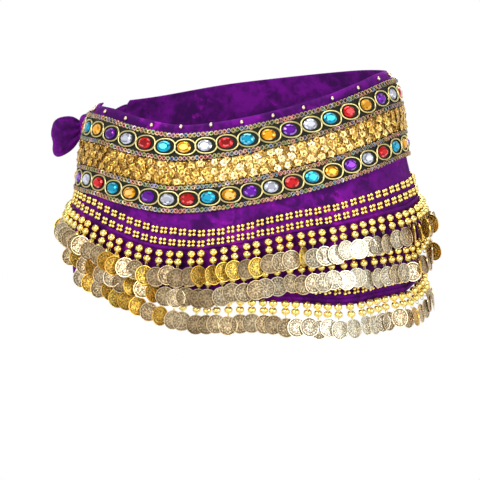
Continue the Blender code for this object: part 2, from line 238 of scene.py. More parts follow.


# %% [markdown]
# ## Velvet
# Velvet is a short upright pile. Light that grazes it comes back as a sheen, and where the pile
# has been crushed it looks lighter or darker. The sheen is on the shader, broad noise makes the
# crushed patches, and fine noise is the pile itself. Bright magenta patches in the colour are a
# painted sheen, and round the wearer's left hip the colour is darkened, a painted shade.

# %% Velvet finish
velvet = Finish(
    "velvet",
    roughness=0.9,
    sheen_weight=0.36,
    sheen_roughness=0.32,
    sheen_tint=(0.80, 0.12, 1.0, 1),
    specular_ior_level=0.15,
)
crushed = velvet.noise(30.0, 3.0, 1.2)
streaks = velvet.noise(150.0, 4.0, 0.6)
pile = velvet.noise(2200.0, 1.0)
nap = (crushed * 0.62 + streaks * 0.38).over(0.515, 0.12)
# Painted sheen: bright magenta patches mixed into the colour, standing in for light off the pile.
painted_sheen_patches = (velvet.noise(21.0, 2.0, 0.8) * 0.7 + streaks * 0.3).over(0.62, 0.05)
purple = velvet.blend(nap, (0.052, 0.0015, 0.094), (0.185, 0.0035, 0.285))
purple = velvet.blend(painted_sheen_patches * 0.75, purple, (0.44, 0.008, 0.52))
# Painted shade: the colour is darkened round the wearer's left hip, towards +X.
sideways = velvet.node("SeparateXYZ", {}, {"Vector": velvet.place()}, "X")
shaded = sideways.over(0.112, 0.035)
purple = velvet.blend(shaded * 0.45, purple, (0.040, 0.0015, 0.066))
velvet.give("Base Color", velvet.blend(pile * 0.35, purple, (0.035, 0.0015, 0.060)))
velvet.bump(crushed * 0.5 + streaks * 0.35 + pile * 0.25, 0.0009)
print("velvet:", len(velvet.tree.nodes), "shader nodes")

# %% [markdown]
# ## Ribbon, gold and gems
# The ribbon under the gems is a dark ribbed weave. The metals differ in colour and polish: pale
# wire for the loops, bright yellow beads, champagne coins. The gems are moulded plastic with
# foil behind, so they get strong colour and gloss. Each facet's colour is made lighter or darker
# at random, a painted sparkle of light, and the brightest facets get a painted white highlight.

# %% Ribbon and metal finishes
ribbon_weave = Finish("ribbon_weave", roughness=0.7, specular_ior_level=0.3)
on_ribbon = ribbon_weave.place("cloth")
ribs = ribbon_weave.node("TexWave", {"bands_direction": "X"}, {"Vector": on_ribbon, "Scale": 320.0, "Distortion": 0.6}, "Fac")
worn = ribbon_weave.noise(60.0, 3.0)
ribbon_weave.give("Base Color", ribbon_weave.blend(ribs * worn, (0.006, 0.006, 0.004), (0.040, 0.037, 0.018)))
ribbon_weave.bump(ribs, 0.0002)


def metal_finish(name, dull, bright, roughness, scale=180.0):
    """A plated metal: its tint differs a little from piece to piece, and it is rubbed in places."""
    made = Finish(name, metallic=1.0)
    rubbed = made.noise(scale, 3.0)
    made.give("Base Color", made.blend((made.attribute("tint") * 0.8 + rubbed * 0.4).over(0.55, 0.5), dull, bright))
    made.give("Roughness", rubbed * 0.16 + roughness)
    made.bump(rubbed, 0.00008)
    return made


loop_wire = metal_finish("loop_wire", (0.46, 0.38, 0.13), (0.78, 0.69, 0.30), 0.24)
pale_bead = metal_finish("pale_bead", (0.72, 0.52, 0.30), (0.96, 0.80, 0.56), 0.25)
gold_bead = metal_finish("gold_bead", (0.92, 0.62, 0.14), (1.00, 0.82, 0.28), 0.14)
gold_thread = metal_finish("gold_thread", (0.40, 0.26, 0.10), (0.68, 0.50, 0.26), 0.35)

gem_finish = Finish("gem", roughness=0.06, metallic=0.55, coat_weight=0.22, coat_roughness=0.03)
gem_finish.give("Base Color", gem_finish.attribute("gem_colour", "Color"))
gem_cloud = gem_finish.noise(300.0)
gem_finish.give("Roughness", gem_cloud * 0.08 + 0.03)
print("gem:", len(gem_finish.tree.nodes), "shader nodes")

# %% [markdown]
# ## Sequins and coins
# A sequin is punched from metallised film. The small ones turn from pink to green and the stars
# are gold, so a sequin's tint picks its colour on a ramp. A coin is stamped thin brass: its
# raised rim is modelled, and its rosette and ring of dots are relief, worked out from how far
# and in which direction a point lies from the coin's middle.

# %% Sequin and coin finishes
rainbow_sequin = Finish("rainbow_sequin", metallic=0.75, coat_weight=0.6, coat_roughness=0.08)
RAINBOW = (
    (0.00, (0.46, 0.10, 0.13)),
    (0.18, (0.66, 0.32, 0.26)),
    (0.34, (0.52, 0.38, 0.18)),
    (0.50, (0.20, 0.29, 0.08)),
    (0.62, (0.06, 0.26, 0.27)),
    (0.74, (0.15, 0.17, 0.42)),
    (0.86, (0.46, 0.42, 0.50)),
    (1.00, (0.40, 0.08, 0.25)),
)
shift = rainbow_sequin.noise(260.0, 1.0)
spread = rainbow_sequin.attribute("tint") + (shift - 0.5) * 0.30
rainbow_sequin.give("Base Color", rainbow_sequin.node("ValToRGB", {"stops": RAINBOW}, {"Fac": spread}))
rainbow_sequin.give("Roughness", shift * 0.2 + 0.12)

star_sequin = Finish("star_sequin", metallic=0.85, coat_weight=0.4, coat_roughness=0.1)
glint = star_sequin.noise(240.0, 2.0)
STAR_GOLDS = (
    (0.00, (0.34, 0.17, 0.02)),
    (0.35, (0.86, 0.52, 0.09)),
    (0.65, (1.00, 0.74, 0.28)),
    (1.00, (1.00, 0.92, 0.60)),
)
star_tint = star_sequin.attribute("tint") + (glint - 0.5) * 0.6
star_sequin.give("Base Color", star_sequin.node("ValToRGB", {"stops": STAR_GOLDS}, {"Fac": star_tint}))
star_sequin.give("Roughness", glint * 0.2 + 0.16)

gold_cloth = Finish("gold_cloth", metallic=0.6)
mesh_threads = gold_cloth.noise(900.0, 2.0)
gold_cloth.give("Base Color", gold_cloth.blend(mesh_threads.over(0.5, 0.15), (0.16, 0.08, 0.018), (0.74, 0.46, 0.13)))
gold_cloth.give("Roughness", mesh_threads * 0.3 + 0.3)
gold_cloth.bump(mesh_threads, 0.0005)

# Coin colours along the tint. The near-white stop is a painted highlight for the lit coins, and the orange and gold
# stops past it are a painted reflection for the turned coins.
COIN_TONES_AND_PAINTED_LIGHT = (
    (0.00, (0.56, 0.41, 0.23)),
    (0.36, (0.82, 0.64, 0.38)),
    (0.76, (1.00, 0.95, 0.78)),
    (0.82, (0.95, 0.46, 0.05)),
    (1.00, (1.00, 0.72, 0.14)),
)
stamped_coin = Finish("stamped_coin", metallic=1.0)
on_coin = stamped_coin.node(
    "VectorMath", {"operation": "SUBTRACT"}, {0: stamped_coin.place("coin"), 1: (0.5, 0.5, 0.0)}
)
across = stamped_coin.node("SeparateXYZ", {}, {0: on_coin}, "X")
upwards = stamped_coin.node("SeparateXYZ", {}, {0: on_coin}, "Y")
from_middle = stamped_coin.node("VectorMath", {"operation": "LENGTH"}, {0: on_coin}, "Value") * 2
bearing = across.maths("ARCTAN2", upwards, across)
petals = across.maths("COSINE", bearing * 8) * 0.14 + 0.40
rosette = (petals - from_middle).over(0.0, 0.03)
core = (0.15 - from_middle).over(0.0, 0.03)
dot_spot = across.maths("COSINE", bearing * 16).over(0.1, 0.3)
dot_ring = (0.09 - across.maths("ABSOLUTE", from_middle - 0.70)).over(0.0, 0.03)
scrolls = stamped_coin.noise(400.0, 2.0, 2.0).over(0.5, 0.05)
rim = from_middle.over(0.90, 0.04)
relief = (rosette - core * 0.8 + dot_spot * dot_ring + scrolls * 0.7) * (1 - rim) + rim * 1.6
wear = stamped_coin.noise(120.0, 4.0)
coin_colour_and_painted_light = stamped_coin.node(
    "ValToRGB", {"stops": COIN_TONES_AND_PAINTED_LIGHT}, {"Fac": stamped_coin.attribute("tint") + (wear - 0.5) * 0.12}
)
tint = stamped_coin.attribute("tint")
# Painted highlight: the lit coins, with tints near 0.75, get less of the dark relief colour.
painted_highlight_coins = tint.over(0.66, 0.08) - tint.over(0.80, 0.02)
stamped_coin.give("Base Color", stamped_coin.blend(relief * 0.62 + 0.22 + painted_highlight_coins * 0.30, (0.11, 0.07, 0.035), coin_colour_and_painted_light))
stamped_coin.give("Roughness", wear * 0.25 + 0.16)
stamped_coin.bump(relief, 0.0008)
print("finishes:", len(bpy.data.materials))

# %% [markdown]
# ## The hip form
# Everything on the scarf follows one form, the hips, that is given as a table of cross sections
# from the scarf's top edge down. A place on the scarf is an angle round the hips, from the front
# towards the wearer's left, and a depth below the top edge. The tables are the ones that the CAD
# source has, so the looks sit where the solids are.

# %% Tables of the form
PANEL_START = -103.0
PANEL_END = 233.0
DEEPEST_AT = 65.0
KNOT_AT = -115.0
VELVET_WALL = 0.0018
TOP_MARGIN = 0.008
BORDER = 0.0052
GEM_FIELD = 0.0166
GOLD_BAND = 0.0225
TRIM = BORDER * 2 + GEM_FIELD
BAND_TOP = TOP_MARGIN + TRIM
LOWER_TRIM_TOP = BAND_TOP + GOLD_BAND
TRIMS_END = LOWER_TRIM_TOP + TRIM
TRIM_STAND_OFF = 0.0011
TRIM_WALL = 0.0012
GEM_PITCH = 0.020
STRAND_PITCH = 0.0104
ROW_REACH = {"upper": 165.5, "middle": 132, "lower": 124}
ROW_LIFT = {"upper": 0.0040, "middle": 0.0020, "lower": 0.0}

HipSection = namedtuple("HipSection", "depth half_width front back")
HIPS = (
    HipSection(0.000, 0.1435, 0.0950, 0.0980),
    HipSection(0.010, 0.1500, 0.0975, 0.1015),
    HipSection(0.025, 0.1550, 0.1005, 0.1065),
    HipSection(0.045, 0.1580, 0.1040, 0.1120),
    HipSection(0.085, 0.1640, 0.1080, 0.1220),
    HipSection(0.125, 0.1735, 0.1100, 0.1275),
    HipSection(0.160, 0.1750, 0.1100, 0.1280),
    HipSection(0.200, 0.1725, 0.1085, 0.1260),
    HipSection(0.260, 0.1680, 0.1070, 0.1220),
)
EdgePoint = namedtuple("EdgePoint", "angle height")
TOP_EDGE = tuple(
    EdgePoint(*point)
    for point in (
        (-140, 0.0500), (-90, 0.0455), (-62, 0.0425), (-48, 0.0362), (-36, 0.0308), (-25, 0.0275), (-14, 0.0290),
        (0, 0.0345), (16, 0.0435), (33, 0.0547), (50, 0.0668), (68, 0.0765), (92, 0.0788), (130, 0.0780),
        (180, 0.0660), (220, 0.0510), (260, 0.0450),
    )
)
RowDepths = namedtuple("RowDepths", "away upper middle lower")
ROW_DEPTHS = (
    RowDepths(0, 0.1310, 0.1670, 0.2110),
    RowDepths(32, 0.1225, 0.1500, 0.1970),
    RowDepths(49, 0.1180, 0.1418, 0.1820),
    RowDepths(65, 0.1185, 0.1400, 0.1705),
    RowDepths(79, 0.1195, 0.1405, 0.1650),
    RowDepths(101, 0.1160, 0.1315, 0.1470),
    RowDepths(125, 0.1065, 0.1210, 0.1355),
    RowDepths(134, 0.1035, 0.1185, 0.1270),
    RowDepths(145, 0.1000, 0.1090, 0.1130),
    RowDepths(172, 0.0940, 0.0970, 0.0985),
)
HEM_BELOW_LAST_ROW = 0.003
Fold = namedtuple("Fold", "angle rise spread")
FOLDS = tuple(
    Fold(*fold)
    for fold in (
        (-90, 0.0040, 11), (-58, 0.0050, 13), (-30, 0.0040, 13), (-4, 0.0035, 14), (17, 0.0030, 11), (36, 0.0070, 9),
        (62, 0.0045, 13), (88, 0.0050, 14), (118, 0.0045, 14), (147, 0.0055, 14), (176, 0.0045, 14), (204, 0.0055, 13),
        (228, 0.0035, 11),
    )
)
FOLDS_START = 0.088
FULL_FOLD_LENGTH = 0.100
print("folds at the hem:", len(FOLDS))


# %% The form as functions
def read_table(rows, column, at):
    """A smooth curve through one column of a table, read at a value of its first column."""
    at = min(max(at, rows[0][0]), rows[-1][0])
    left = max(i for i in range(len(rows) - 1) if rows[i][0] <= at)
    slopes = []
    for i in (left, left + 1):
        before, after = rows[max(i - 1, 0)], rows[min(i + 1, len(rows) - 1)]
        slopes.append((getattr(after, column) - getattr(before, column)) / (after[0] - before[0]))
    span = rows[left + 1][0] - rows[left][0]
    t = (at - rows[left][0]) / span
    return (
        getattr(rows[left], column) * (2 * t**3 - 3 * t**2 + 1)
        + getattr(rows[left + 1], column) * (3 * t**2 - 2 * t**3)
        + slopes[0] * span * (t**3 - 2 * t**2 + t)
        + slopes[1] * span * (t**3 - t**2)
    )


def row_depth(row, angle):
    return read_table(ROW_DEPTHS, row, abs(angle - DEEPEST_AT))


def hem_depth(angle):
    return row_depth("lower", angle) + HEM_BELOW_LAST_ROW


def fold_rise(angle, depth):
    """The soft folds of the lower cloth: nothing at the trims, most at the hem."""
    if depth <= FOLDS_START:
        return 0.0
    free_length = hem_depth(angle) - FOLDS_START
    share = min((depth - FOLDS_START) / free_length, 1.2)
    lift = sum(f.rise * math.exp(-(((angle - f.angle) / f.spread) ** 2)) for f in FOLDS)
    return lift * share * share * min(free_length / FULL_FOLD_LENGTH, 1.0)


def form(angle, depth):
    turn = math.radians(angle)
    half_width = read_table(HIPS, "half_width", depth)
    half_depth = read_table(HIPS, "front" if math.cos(turn) > 0 else "back", depth)
    across = Vector((half_width * math.sin(turn), -half_depth * math.cos(turn), 0))
    outward = Vector((across.x / half_width**2, across.y / half_depth**2, 0)).normalized()
    across += outward * fold_rise(angle, depth)
    across.z = read_table(TOP_EDGE, "height", angle) - depth
    return across


def frame_at(angle, depth, level=False):
    """The point of the form, its direction round the hips and its outward direction."""
    round_hips = form(angle + 0.5, depth) - form(angle - 0.5, depth)
    upwards = form(angle, depth - 0.002) - form(angle, depth + 0.002)
    outward = round_hips.cross(upwards).normalized()
    round_hips.z = 0
    if level:
        outward = Vector((outward.x, outward.y, 0)).normalized()
    return form(angle, depth), round_hips.normalized(), outward


def even_angles(depth, start, end, count):
    """Angles that divide a stretch of the ring into pieces of one length."""
    angles = np.linspace(start, end, 600)
    points = [form(angle, depth) for angle in angles]
    steps = [math.hypot(q.x - p.x, q.y - p.y) for p, q in zip(points, points[1:])]
    along = np.concatenate([[0.0], np.cumsum(steps)])
    return [float(a) for a in np.interp(np.linspace(0, along[-1], count + 1), along, angles)]


def ring_length(depth, start=PANEL_START, end=PANEL_END):
    points = [form(angle, depth) for angle in np.linspace(start, end, 600)]
    return sum(math.hypot(q.x - p.x, q.y - p.y) for p, q in zip(points, points[1:]))


print("round the trims:", round(ring_length(0.05), 3), "m; round the coins:", round(ring_length(0.14), 3), "m")

# %% [markdown]
# ## Creases
# Worn velvet is never smooth. Where it is free of the trims it has small dents and ridges, from
# the pull of the bow and the weight of the coins. Each one is a soft bump with a place, a slant,
# a length and a width, so that it can be put where the photograph shows it and tuned on its own.

# %% Creases placed one by one
Crease = namedtuple("Crease", "angle depth slant length width rise")
CREASES = tuple(
    Crease(*crease)
    for crease in (
        (-97, 0.100, 60, 0.030, 0.0050, -0.0012), (-84, 0.085, 30, 0.030, 0.0060, 0.0010),
        (-70, 0.101, 15, 0.026, 0.0050, -0.0010), (-57, 0.104, -8, 0.024, 0.0060, 0.0009),
        (-41, 0.100, 20, 0.022, 0.0050, -0.0009), (-27, 0.108, -25, 0.022, 0.0055, 0.0009),
        (-15, 0.103, 10, 0.020, 0.0050, -0.0010), (-3, 0.106, -30, 0.020, 0.0050, 0.0008),
        (9, 0.104, 24, 0.020, 0.0050, -0.0009), (22, 0.108, -12, 0.022, 0.0055, 0.0009),
        (35, 0.103, 8, 0.022, 0.0050, -0.0010), (48, 0.110, -20, 0.024, 0.0060, 0.0010),
        (63, 0.106, 16, 0.026, 0.0060, -0.0010), (80, 0.112, -10, 0.028, 0.0060, 0.0010),
        (101, 0.104, 22, 0.026, 0.0060, -0.0010), (122, 0.108, -18, 0.024, 0.0060, 0.0010),
        (143, 0.103, 12, 0.024, 0.0055, -0.0010), (165, 0.106, -26, 0.022, 0.0060, 0.0009),
        (186, 0.101, 18, 0.022, 0.0055, -0.0010), (206, 0.100, -14, 0.022, 0.0055, 0.0009),
        (224, 0.096, -50, 0.026, 0.0050, -0.0012),
    )
)
HIP_RADIUS = 0.150


def crease_rise(angle, depth):
    rise = 0.0
    for crease in CREASES:
        aside = math.radians(angle - crease.angle) * HIP_RADIUS
        if abs(aside) > 0.05:
            continue
        slant = math.radians(crease.slant)
        down = depth - crease.depth
        along = down * math.cos(slant) + aside * math.sin(slant)
        off = aside * math.cos(slant) - down * math.sin(slant)
        rise += crease.rise * math.exp(-((along / crease.length) ** 2) - (off / crease.width) ** 2)
    return rise * min(max((depth - TRIMS_END + 0.003) / 0.008, 0.0), 1.0)


def cloth(angle, depth, out=0.0):
    """A point at a place on the cloth, moved out from it."""
    point, _, outward = frame_at(angle, depth)
    return point + outward * (out + crease_rise(angle, depth))


print("creases:", len(CREASES))

# %% [markdown]
# ## From a mesh to a piece
# Every piece ends the same way. Its bmesh becomes an object at the origin, it gets its finish,
# it rides on the scarf's one body, and the CAD nodes that it stands for are hidden.

# %% Piece helpers
def as_piece(bm, name, finish, stands_for=(), sharp_over=None):
    mesh = bpy.data.meshes.new(name)
    bm.to_mesh(mesh)
    bm.free()
    mesh.materials.append(finish.material)
    mesh.shade_smooth()
    if sharp_over is not None:
        mesh.set_sharp_from_angle(angle=math.radians(sharp_over))
    piece = bpy.data.objects.new(name, mesh)
    bpy.context.scene.collection.objects.link(piece)
    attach(piece, "root")
    if stands_for:
        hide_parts(*stands_for)
    print(name, len(mesh.polygons), "faces")
    return piece


def placed_grid(columns, rows, place, flat_size):
    """An open sheet: place gives the point for two shares from 0 to 1. Its UV map is in metres."""
    bm = bmesh.new()
    uv = bm.loops.layers.uv.new("cloth")
    bmesh.ops.create_grid(bm, x_segments=columns, y_segments=rows, size=1.0)
    for face in bm.faces:
        for corner in face.loops:
            across, down = (corner.vert.co.x + 1) / 2, (1 - corner.vert.co.y) / 2
            corner[uv].uv = (across * flat_size[0], down * flat_size[1])
    for vert in bm.verts:
        vert.co = place((vert.co.x + 1) / 2, (1 - vert.co.y) / 2)
    return bm


def give_wall(piece, thickness, smoother=0):
    wall = piece.modifiers.new("Wall", "SOLIDIFY")
    wall.thickness = thickness
    wall.offset = 0.0
    wall.use_even_offset = True
    if smoother:
        soft = piece.modifiers.new("Soft", "SUBSURF")
        soft.levels = soft.render_levels = smoother
    return piece


def cloth_area(piece):
    return sum(face.area for face in piece.data.polygons)


# %% [markdown]
# ## The velvet panel
# The panel is one curved piece of velvet, cut deeper where the coins hang lowest. Its top edge
# is turned over and its hem is rolled, and both show as a soft bead along the edge. A fine grid
# carries the creases, and a Solidify modifier gives the cloth its thickness at the end, so its
# own two sides stay the same distance apart everywhere.

# %% Make the velvet panel
PANEL_COLUMNS = 336
PANEL_ROWS = 62
TURNED_EDGE = 0.007
ROLLED_HEM = 0.004
panel_angles = even_angles(0.085, PANEL_START, PANEL_END, PANEL_COLUMNS)
panel_length = ring_length(0.085)
deepest = hem_depth(DEEPEST_AT)


def edge_roll(from_edge, width, rise):
    """The soft swelling of a turned edge, with a line of stitches where it ends."""
    if from_edge > width * 1.5:
        return 0.0
    share = from_edge / width
    return rise * math.exp(-((share - 0.45) ** 2) * 9) - rise * 0.5 * math.exp(-((share - 1.0) ** 2) * 90)


def panel_point(across, down):
    place = across * PANEL_COLUMNS
    angle = panel_angles[min(round(place), PANEL_COLUMNS)]
    hem = hem_depth(angle)
    depth = hem * down
    out = -VELVET_WALL / 2
    out += edge_roll(depth, TURNED_EDGE, 0.0007) + edge_roll(hem - depth, ROLLED_HEM, 0.0008)
    return cloth(angle, depth, out)


bm = placed_grid(PANEL_COLUMNS, PANEL_ROWS, panel_point, (panel_length, deepest))
velvet_scarf = as_piece(bm, "velvet_scarf", velvet, ["velvet_panel"])
panel_area = cloth_area(velvet_scarf)
give_wall(velvet_scarf, 0.0014)
print("panel:", round(panel_length, 3), "m by", round(deepest, 3), "m, area", round(panel_area, 4), "m2")

# %% [markdown]
# ## Ribbons and gold ground
# Two dark ribbons carry the gems, and between them lies a strip of gold mesh cloth that the
# stars are sewn to. All three are flat strips that are sewn onto the panel, so they are made
# from the panel's own points, moved out by a little air and half their thickness.

# %% Make the ribbons and the gold ground
def sewn_strip(name, top, height, finish, stands_for):
    middle = top + height / 2
    start, end = PANEL_START + 0.4, PANEL_END - 0.4
    columns, rows = 320, 6
    angles = even_angles(middle, start, end, columns)
    length = ring_length(middle, start, end)

    def point(across, down):
        angle = angles[min(round(across * columns), columns)]
        edge = 1 - 0.35 * abs(2 * down - 1) ** 6
        return cloth(angle, top + 0.0003 + (height - 0.0006) * down, TRIM_STAND_OFF + TRIM_WALL / 2 * edge)

    strip = as_piece(placed_grid(columns, rows, point, (length, height)), name, finish, stands_for)
    return give_wall(strip, 0.0009), length


ribbon_upper, upper_length = sewn_strip(
    "ribbon_upper", TOP_MARGIN, TRIM, ribbon_weave, ["jewelled_trim_upper"]
)
ribbon_lower, lower_length = sewn_strip(
    "ribbon_lower", LOWER_TRIM_TOP, TRIM, ribbon_weave, ["jewelled_trim_lower"]
)
gold_ground, gold_length = sewn_strip("gold_ground", BAND_TOP, GOLD_BAND, gold_cloth, ["gold_band"])
print("strips:", round(upper_length, 3), round(gold_length, 3), round(lower_length, 3), "m long")

# %% [markdown]
# ## One shape, many places
# Gems, sequins, beads and coins are each one small shape, repeated hundreds of times. Modelling
# the shape once with a few dozen faces and appending it to one mesh for each place keeps the
# piece light. A number called tint goes with each copy, so that one finish can vary it.

# %% Helpers for repeated shapes
def on_cloth(angle, depth, out, spin=0.0, tip=0.0, lean=0.0):
    """The matrix that lays a shape on the cloth: its X goes round the hips and its Z faces out."""
    point, round_hips, outward = frame_at(angle, depth)
    up = outward.cross(round_hips)
    turn = Matrix((round_hips, up, outward)).transposed().to_4x4()
    place = point + outward * (out + crease_rise(angle, depth))
    own = Matrix.Rotation(tip, 4, "X") @ Matrix.Rotation(lean, 4, "Y") @ Matrix.Rotation(spin, 4, "Z")
    return Matrix.Translation(place) @ turn @ own


def hanging(frame_of, drop, out, aside=0.0):
    """The matrix for a shape that hangs: its Y is up, and its Z faces out and is level."""
    point, round_hips, outward = frame_of
    turn = Matrix((round_hips, Vector((0, 0, 1)), outward)).transposed().to_4x4()
    place = point + outward * out + round_hips * aside - Vector((0, 0, drop))
    return Matrix.Translation(place) @ turn


def repeated(shape_bm, places, name, finish, tints=None, stands_for=(), sharp_over=None):
    shape = bpy.data.meshes.new(name + "_shape")
    shape_bm.to_mesh(shape)
    shape_bm.free()
    bm = bmesh.new()
    for place in places:
        shape.transform(place)
        bm.from_mesh(shape)
        shape.transform(place.inverted())
    piece = as_piece(bm, name, finish, stands_for, sharp_over)
    if tints is not None:
        tint = piece.data.attributes.new("tint", "FLOAT", "POINT")
        tint.data.foreach_set("value", np.repeat(np.array(tints, np.float32), len(shape.vertices)))
    bpy.data.meshes.remove(shape)
    return piece


def bead_shape(radius, across, down, squeeze=0.92):
    bm = bmesh.new()
    bmesh.ops.create_uvsphere(bm, u_segments=across, v_segments=down, radius=radius)
    bmesh.ops.scale(bm, vec=(1, 1, squeeze), verts=bm.verts)
    bmesh.ops.rotate(bm, matrix=Matrix.Rotation(math.radians(90), 3, "X"), verts=bm.verts)
    return bm


def ring_shape(half_width, half_height, wire, segments, sides, squareness=2.0):
    """A closed loop of wire in the XY plane, round or oval or with flattened ends."""
    bm = bmesh.new()
    bmesh.ops.create_circle(bm, segments=sides, radius=wire)
    bmesh.ops.rotate(bm, matrix=Matrix.Rotation(math.radians(90), 3, "X"), verts=bm.verts)
    bmesh.ops.translate(bm, vec=(1, 0, 0), verts=bm.verts)
    bmesh.ops.spin(
        bm, geom=bm.verts[:] + bm.edges[:], cent=(0, 0, 0), axis=(0, 0, 1), angle=math.tau, steps=segments, use_merge=True
    )
    for vert in bm.verts:
        angle = math.atan2(vert.co.y, vert.co.x)
        c, s = math.cos(angle), math.sin(angle)
        reach = (abs(c) ** squareness + abs(s) ** squareness) ** (-1 / squareness)
        off = math.hypot(vert.co.x, vert.co.y) - 1
        vert.co.x = half_width * reach * c + off * c
        vert.co.y = half_height * reach * s + off * s
    bmesh.ops.recalc_face_normals(bm, faces=bm.faces)
    return bm


sample_bead = bead_shape(0.0019, 8, 6)
print("a small bead:", len(sample_bead.faces), "faces")
sample_bead.free()

# %% [markdown]
# ## Gems in their loops
# Each ribbon has one row of oval gems. A gem is cut like a brilliant: a girdle, a sloped crown
# and a flat table on top. It sits in a larger loop of pale gold wire, a little to one side, so
# the dark ribbon shows beside it. The loops touch their neighbours like a chain. The five
# colours follow each other in order. As on the real one, the upper row leaves one colour out
# and has two gems in each other's place.

# %% Make the gems and their loops
GEM_HALF = (0.0070, 0.0054)
GEM_ASIDE = -0.0012
GEM_COLOURS = {
    "clear": (0.62, 0.64, 0.76),
    "red": (0.68, 0.003, 0.005),
    "turquoise": (0.0, 0.42, 0.66),
    "amber": (1.0, 0.42, 0.0),
    "purple": (0.15, 0.0, 0.40),
}
GEM_ORDER = ("clear", "red", "turquoise", "amber", "purple")
SLIP_AT = 9
CHANGED_PLACES = {15: 16, 16: 15}
RIBBON_FACE = TRIM_STAND_OFF + TRIM_WALL


def gem_shape():
    bm = bmesh.new()
    bmesh.ops.create_circle(bm, cap_ends=True, segments=12, radius=1.0)
    bmesh.ops.scale(bm, vec=(GEM_HALF[0], GEM_HALF[1], 1), verts=bm.verts)
    top = bm.faces[:]
    steps = ((0.0, 0.0012), (0.0014, 0.0011), (0.0014, 0.0007))
    base = bmesh.ops.duplicate(bm, geom=top)["geom"]
    bmesh.ops.reverse_faces(bm, faces=[item for item in base if isinstance(item, bmesh.types.BMFace)])
    for inset, rise in steps:
        if inset:
            bmesh.ops.inset_region(bm, faces=top, thickness=inset, depth=rise, use_even_offset=True)
        else:
            top = bmesh.ops.extrude_discrete_faces(bm, faces=top)["faces"]
            bmesh.ops.translate(bm, vec=(0, 0, rise), verts=top[0].verts)
    bmesh.ops.remove_doubles(bm, verts=bm.verts, dist=1e-6)
    bmesh.ops.recalc_face_normals(bm, faces=bm.faces)
    return bm


def make_jewels(name, top, first_colour):
    middle = top + BORDER + GEM_FIELD / 2
    start, end = PANEL_START + 0.4, PANEL_END - 0.4
    count = round(ring_length(middle, start, end) / GEM_PITCH)
    ends = even_angles(middle, start, end, count)
    pitch = ring_length(middle, start, end) / count
    centres = [(a + b) / 2 for a, b in zip(ends, ends[1:])]
    loops, gems = [], []
    for angle in centres:
        place = on_cloth(angle, middle, RIBBON_FACE)
        loops.append(place @ Matrix.Translation((0, 0, 0.0010)))
        gems.append(place @ Matrix.Translation((GEM_ASIDE, 0, 0.0001)))
    wire = ring_shape(pitch / 2 + 0.0004, GEM_FIELD / 2 - 0.0008, 0.00085, 28, 6, 2.25)
    repeated(wire, loops, f"gem_loops_{name}", loop_wire, [0.75] * count)
    shape = gem_shape()
    faces_each = len(shape.faces)
    jewels = repeated(shape, gems, f"gems_{name}", gem_finish, sharp_over=1.0)
    chance = random.Random(11 + first_colour)
    colours = []
    for number in range(count):
        place = CHANGED_PLACES.get(number, number) if name == "upper" else number
        slip = 1 if name == "upper" and number >= SLIP_AT else 0
        base = GEM_COLOURS[GEM_ORDER[(place + first_colour + slip) % len(GEM_ORDER)]]
        for _ in range(faces_each):
            # Painted light: each facet is made lighter or darker at random, a painted sparkle, and the brightest
            # facets are mixed towards white, a painted highlight.
            facet_painted_light = chance.choice((0.4, 0.65, 0.9, 1.0, 1.25))
            painted_white_highlight = 0.16 if facet_painted_light > 1.2 else 0.0
            colours.append([min(c * facet_painted_light, 1.0) * (1 - painted_white_highlight) + painted_white_highlight for c in base] + [1.0])
    layer = jewels.data.attributes.new("gem_colour", "FLOAT_COLOR", "FACE")
    layer.data.foreach_set("color", np.array(colours, np.float32).ravel())
    print(name, count, "gems, pitch", round(pitch * 1000, 2), "mm")


make_jewels("upper", TOP_MARGIN, 0)
make_jewels("lower", LOWER_TRIM_TOP, 2)

# %% [markdown]
# ## Strips of iridescent sequins
# Both edges of each ribbon have a row of small cup sequins, each with a dark hole, held down by
# a braid of pale gold thread. Every sequin is tipped its own way, so the row glitters in pink,
# green, blue and gold. The two threads of the braid are tubes that wave against each other.

# %% Make the sequin strips
SEQUIN_RADIUS = 0.0023
SEQUIN_PITCH = 0.0041


def cup_sequin_shape():
    bm = bmesh.new()
    bmesh.ops.create_circle(bm, segments=8, radius=SEQUIN_RADIUS)
    rim = bm.edges[:]
    for radius, rise in ((0.0014, -0.0007), (0.0006, -0.0009)):
        moved = bmesh.ops.extrude_edge_only(bm, edges=rim)["geom"]
        verts = [item for item in moved if isinstance(item, bmesh.types.BMVert)]
        rim = [item for item in moved if isinstance(item, bmesh.types.BMEdge)]
        for vert in verts:
            flat = Vector((vert.co.x, vert.co.y)).normalized() * radius
            vert.co = (flat.x, flat.y, rise)
    bmesh.ops.recalc_face_normals(bm, faces=bm.faces)
    bmesh.ops.solidify(bm, geom=bm.faces[:], thickness=0.0002)
    bmesh.ops.translate(bm, vec=(0, 0, 0.0012), verts=bm.verts)
    return bm


def make_sequin_strip(number, depth):
    chance = random.Random(100 + number)
    start, end = PANEL_START + 0.8, PANEL_END - 0.8
    count = round(ring_length(depth, start, end) / SEQUIN_PITCH)
    places, tints = [], []
    for angle in even_angles(depth, start, end, count - 1):
        tip, lean = chance.uniform(-0.4, 0.4), 0.22 + chance.uniform(-0.3, 0.3)
        aside = chance.uniform(-0.0003, 0.0003)
        places.append(on_cloth(angle, depth + aside, RIBBON_FACE + 0.0004, 0.0, tip, lean))
        tints.append(chance.random())
    repeated(cup_sequin_shape(), places, f"sequin_strip_{number}", rainbow_sequin, tints)
    return count


STRIP_DEPTHS = (TOP_MARGIN + BORDER / 2, BAND_TOP - BORDER / 2, LOWER_TRIM_TOP + BORDER / 2, TRIMS_END - BORDER / 2)
print("sequins:", sum(make_sequin_strip(i + 1, depth) for i, depth in enumerate(STRIP_DEPTHS)))


